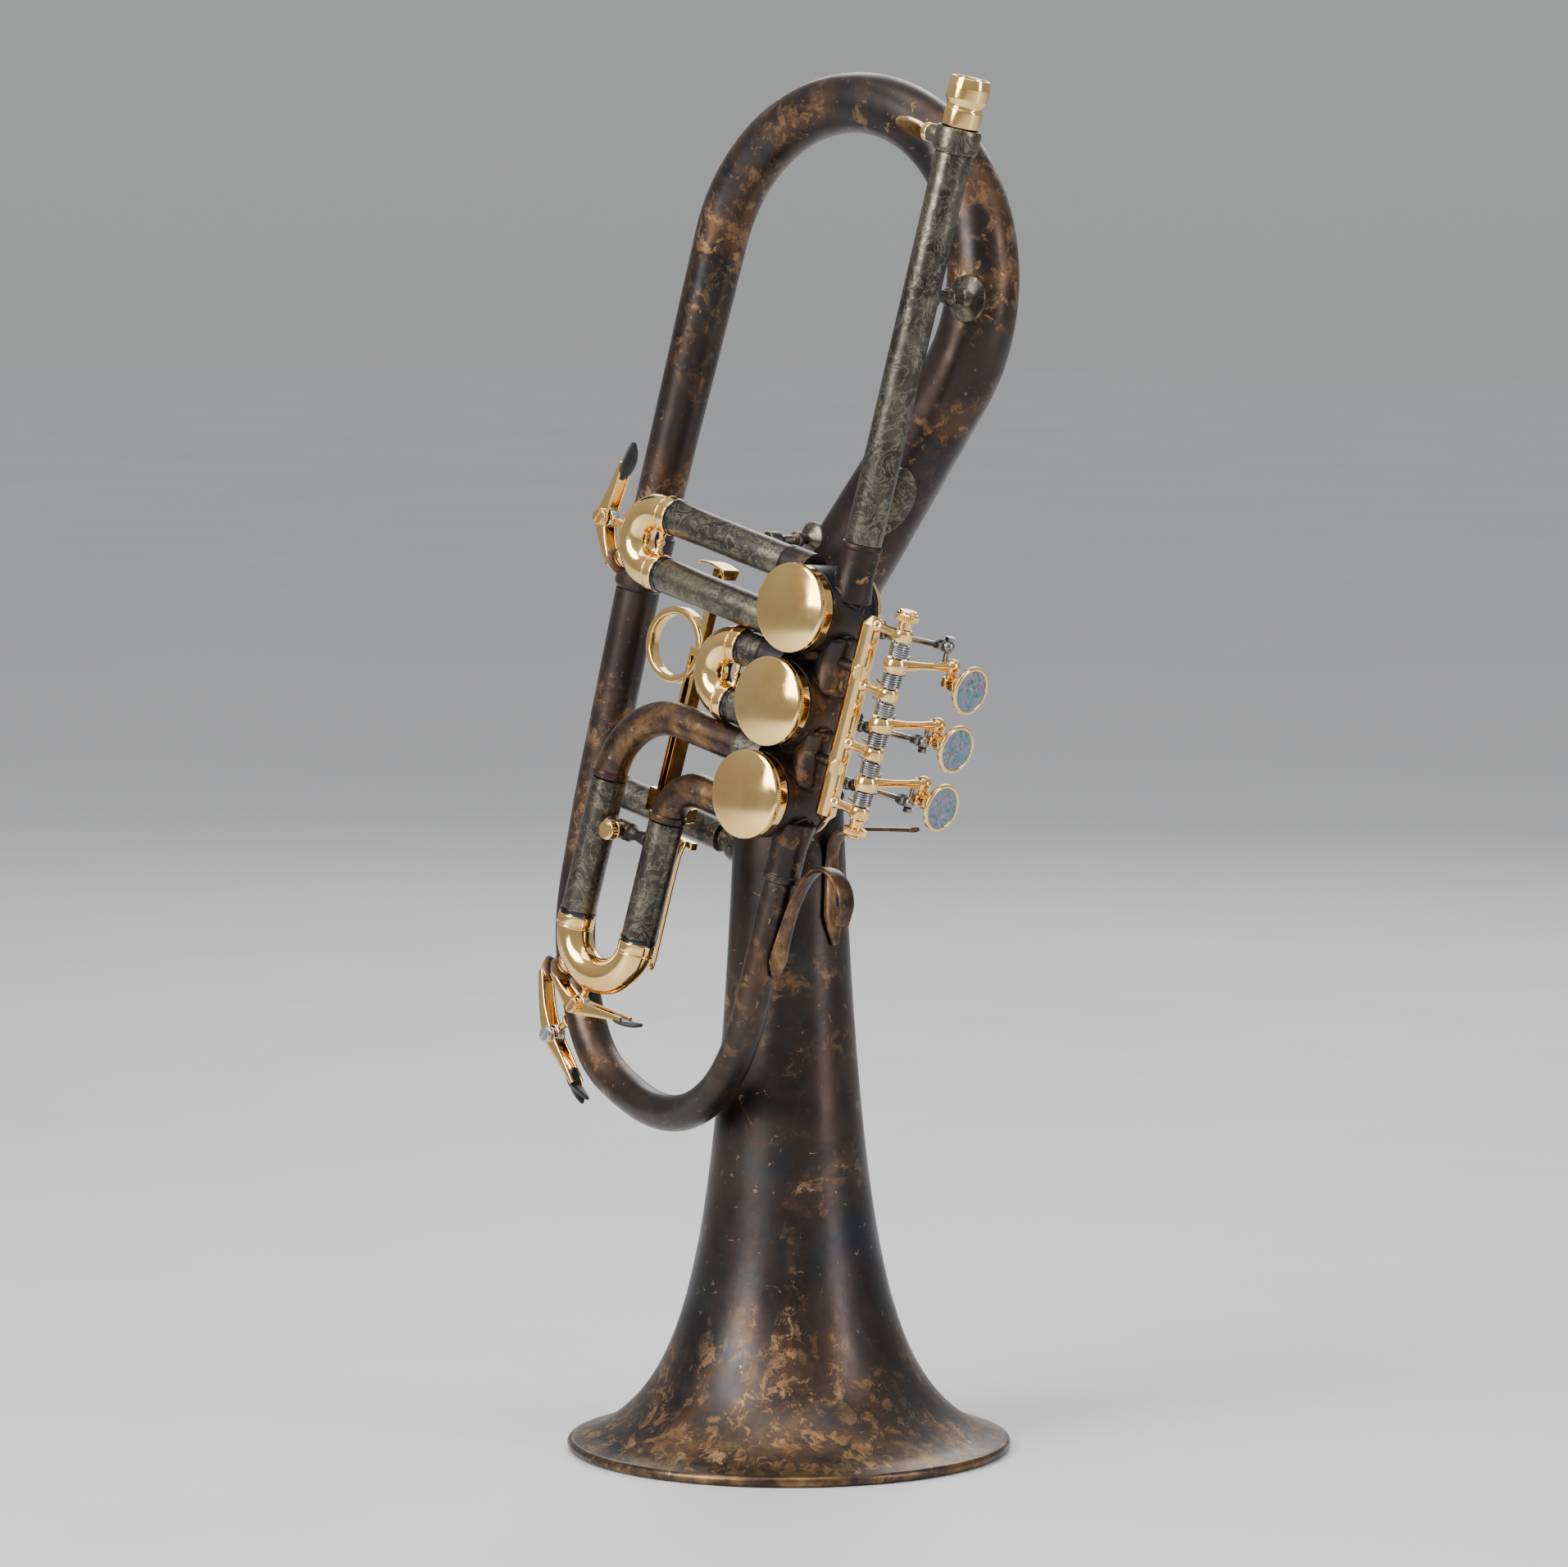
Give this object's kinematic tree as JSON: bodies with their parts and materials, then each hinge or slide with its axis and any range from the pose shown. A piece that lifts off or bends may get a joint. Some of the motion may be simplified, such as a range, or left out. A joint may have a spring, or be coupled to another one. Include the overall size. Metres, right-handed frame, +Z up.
{
  "type": "flugelhorn",
  "caption": "Rotary-valve flugelhorn standing on its bell, with sprung finger levers, pull-out tuning slides, a slide trigger and water keys.",
  "frame": {"origin": "centre of the bell rim, on the surface that the bell stands on", "axes": "+Z up along the bell's axis; +X towards the levers and the mouthpiece receiver; -Y towards the valve caps"},
  "size_m": [0.2102, 0.1504, 0.4628],
  "materials": {
    "patina_brass": "dark brown-black satin patina, mottled with bronze",
    "nickel_silver": "aged mottled grey, scratchy",
    "aged_bronze": "aged bronze, satin",
    "gold_plate": "polished gold plate",
    "spring_steel": "polished steel"
  },
  "bodies": {
    "horn": {"bearing_plate_1": "gold_plate", "bearing_plate_2": "gold_plate", "bearing_plate_3": "gold_plate", "bell_brace": "nickel_silver", "bell_flare": "patina_brass", "bell_tail": "patina_brass", "bow_stay": "nickel_silver", "casing_1": "patina_brass", "casing_2": "patina_brass", "casing_3": "patina_brass", "clamp_collar": "nickel_silver", "finger_hook": "aged_bronze", "first_sleeve_lower": "nickel_silver", "first_sleeve_upper": "nickel_silver", "inlet_knuckle": "patina_brass", "knuckle_1_2": "patina_brass", "knuckle_2_3": "patina_brass", "leadpipe_sleeve": "nickel_silver", "lever_axle": "gold_plate", "lever_rail": "gold_plate", "lower_bow": "patina_brass", "main_bow": "patina_brass", "outlet_knuckle": "patina_brass", "pinky_hook": "aged_bronze", "second_sleeve_lower": "nickel_silver", "second_sleeve_upper": "nickel_silver", "slide_stay": "nickel_silver", "third_elbow_inner": "aged_bronze", "third_elbow_outer": "aged_bronze", "third_sleeve_inner": "nickel_silver", "third_sleeve_outer": "nickel_silver", "trigger_guide": "gold_plate", "valve_cap_1": "gold_plate", "valve_cap_2": "gold_plate", "valve_cap_3": "gold_plate"},
    "lever_1": {"lever_1": "gold_plate", "lever_spring_1": "spring_steel"},
    "rod_1": {"linkage_rod_1": "spring_steel"},
    "rotor_1": {"rotor_1": "aged_bronze", "stop_arm_1": "gold_plate"},
    "lever_2": {"lever_2": "gold_plate", "lever_spring_2": "spring_steel"},
    "rod_2": {"linkage_rod_2": "spring_steel"},
    "rotor_2": {"rotor_2": "aged_bronze", "stop_arm_2": "gold_plate"},
    "lever_3": {"lever_3": "gold_plate", "lever_spring_3": "spring_steel"},
    "rod_3": {"linkage_rod_3": "spring_steel"},
    "rotor_3": {"rotor_3": "aged_bronze", "stop_arm_3": "gold_plate"},
    "first_slide": {"first_slide_crook": "gold_plate"},
    "first_water_key": {"water_key_first": "gold_plate"},
    "second_slide": {"second_slide_crook": "gold_plate"},
    "third_slide": {"third_slide_crook": "gold_plate", "trigger_carriage": "gold_plate"},
    "third_water_key": {"water_key_third": "gold_plate"},
    "main_water_key": {"water_key_main": "gold_plate"},
    "receiver": {"mouthpiece_receiver": "gold_plate"},
    "clamp_screw": {"thumb_screw": "gold_plate"},
    "lyre_screw": {"lyre_screw": "gold_plate"}
  },
  "joints": [
    {"name": "lever_1_press", "type": "hinge", "parent": "horn", "child": "lever_1", "pos_m": [0.08278, -0.03948, 0.27109], "axis": [0.2487, 0.0709, 0.966], "range_deg": [0, 26], "stiffness_Nm_per_rad": 0.03, "springref_deg": -40.11},
    {"name": "rod_1_swing", "type": "hinge", "parent": "lever_1", "child": "rod_1", "pos_m": [0.08054, -0.01107, 0.27559], "axis": [0.2487, 0.0709, 0.966], "range_deg": [-35.5, 0.5]},
    {"name": "rotor_1_turn", "type": "hinge", "parent": "horn", "child": "rotor_1", "pos_m": [0.04811, -0.03574, 0.28782], "axis": [0, -0.9973, 0.0732], "range_deg": [-90.5, 0.5]},
    {"name": "lever_2_press", "type": "hinge", "parent": "horn", "child": "lever_2", "pos_m": [0.07781, -0.0409, 0.25177], "axis": [0.2487, 0.0709, 0.966], "range_deg": [0, 26], "stiffness_Nm_per_rad": 0.03, "springref_deg": -40.11},
    {"name": "rod_2_swing", "type": "hinge", "parent": "lever_2", "child": "rod_2", "pos_m": [0.07243, -0.01339, 0.2441], "axis": [0.2487, 0.0709, 0.966], "range_deg": [-35.5, 0.5]},
    {"name": "rotor_2_turn", "type": "hinge", "parent": "horn", "child": "rotor_2", "pos_m": [0.0402, -0.038, 0.2571], "axis": [0, -0.9973, 0.0732], "range_deg": [-90.5, 0.5]},
    {"name": "lever_3_press", "type": "hinge", "parent": "horn", "child": "lever_3", "pos_m": [0.07283, -0.04232, 0.23245], "axis": [0.2487, 0.0709, 0.966], "range_deg": [0, 26], "stiffness_Nm_per_rad": 0.03, "springref_deg": -40.11},
    {"name": "rod_3_swing", "type": "hinge", "parent": "lever_3", "child": "rod_3", "pos_m": [0.06731, -0.01485, 0.2242], "axis": [0.2487, 0.0709, 0.966], "range_deg": [-35.5, 0.5]},
    {"name": "rotor_3_turn", "type": "hinge", "parent": "horn", "child": "rotor_3", "pos_m": [0.03229, -0.04026, 0.22638], "axis": [0, -0.9973, 0.0732], "range_deg": [-0.5, 90.5]},
    {"name": "first_slide_pull", "type": "slide", "parent": "horn", "child": "first_slide", "axis": [-0.9686, 0.0182, 0.248], "range_m": [0, 0.03]},
    {"name": "first_water_key_open", "type": "hinge", "parent": "first_slide", "child": "first_water_key", "pos_m": [-0.05153, -0.03377, 0.31467], "axis": [0, -0.9973, 0.0732], "range_deg": [-12, 0], "stiffness_Nm_per_rad": 0.02, "springref_deg": 34.38},
    {"name": "second_slide_pull", "type": "slide", "parent": "horn", "child": "second_slide", "axis": [-0.9686, 0.0182, 0.248], "range_m": [0, 0.006]},
    {"name": "third_slide_trigger", "type": "slide", "parent": "horn", "child": "third_slide", "axis": [-0.2487, -0.0709, -0.966], "range_m": [0, 0.025]},
    {"name": "third_water_key_open", "type": "hinge", "parent": "third_slide", "child": "third_water_key", "pos_m": [-0.05376, -0.04584, 0.15039], "axis": [0, -0.9973, 0.0732], "range_deg": [0, 12], "stiffness_Nm_per_rad": 0.02, "springref_deg": -34.38},
    {"name": "main_water_key_open", "type": "hinge", "parent": "horn", "child": "main_water_key", "pos_m": [-0.09557, -0.01545, 0.13408], "axis": [0, -0.9973, 0.0732], "range_deg": [0, 12], "stiffness_Nm_per_rad": 0.02, "springref_deg": -34.38},
    {"name": "receiver_pull", "type": "slide", "parent": "horn", "child": "receiver", "axis": [0.236, 0.0712, 0.9691], "range_m": [0, 0.025]},
    {"name": "clamp_screw_turn", "type": "hinge", "parent": "horn", "child": "clamp_screw", "pos_m": [0.09554, -0.02458, 0.43979], "axis": [0.9718, -0.0173, -0.2354], "range_deg": [-90, 90]},
    {"name": "lyre_screw_turn", "type": "hinge", "parent": "horn", "child": "lyre_screw", "pos_m": [-0.03647, -0.04143, 0.21032], "axis": [0, -0.9973, 0.0732], "range_deg": [-180, 180]}
  ],
  "couplings": [
    {"joint": "rod_1_swing", "follows": "lever_1_press", "ratio": -1.35},
    {"joint": "rotor_1_turn", "follows": "lever_1_press", "ratio": -3.4615},
    {"joint": "rod_2_swing", "follows": "lever_2_press", "ratio": -1.35},
    {"joint": "rotor_2_turn", "follows": "lever_2_press", "ratio": -3.4615},
    {"joint": "rod_3_swing", "follows": "lever_3_press", "ratio": -1.35},
    {"joint": "rotor_3_turn", "follows": "lever_3_press", "ratio": 3.4615}
  ]
}
